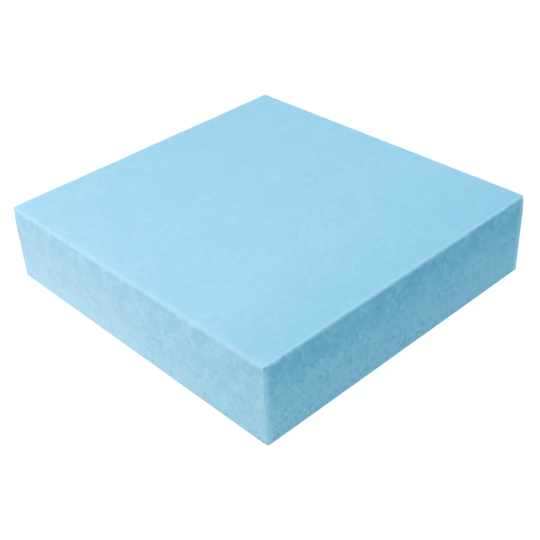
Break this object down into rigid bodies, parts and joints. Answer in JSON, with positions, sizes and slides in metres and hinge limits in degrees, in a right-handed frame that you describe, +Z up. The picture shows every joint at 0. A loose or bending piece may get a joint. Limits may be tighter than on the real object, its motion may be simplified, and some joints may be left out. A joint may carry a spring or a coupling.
{
  "type": "tapered foam insulation board",
  "caption": "Rigid foam insulation board sawn to a shallow wedge, with square butt edges and slightly eased arrises, for laying a flat roof to a fall.",
  "frame": {"origin": "middle of the level underside", "axes": "+X points up the fall, from the thin edge to the thick edge; +Y runs along the board, across the fall; +Z is up, out of the sloping top face"},
  "size_m": [0.6, 0.625, 0.1475],
  "materials": {
    "foam": "matt sawn closed-cell foam"
  },
  "bodies": {
    "root": {"board": "foam"}
  },
  "joints": []
}
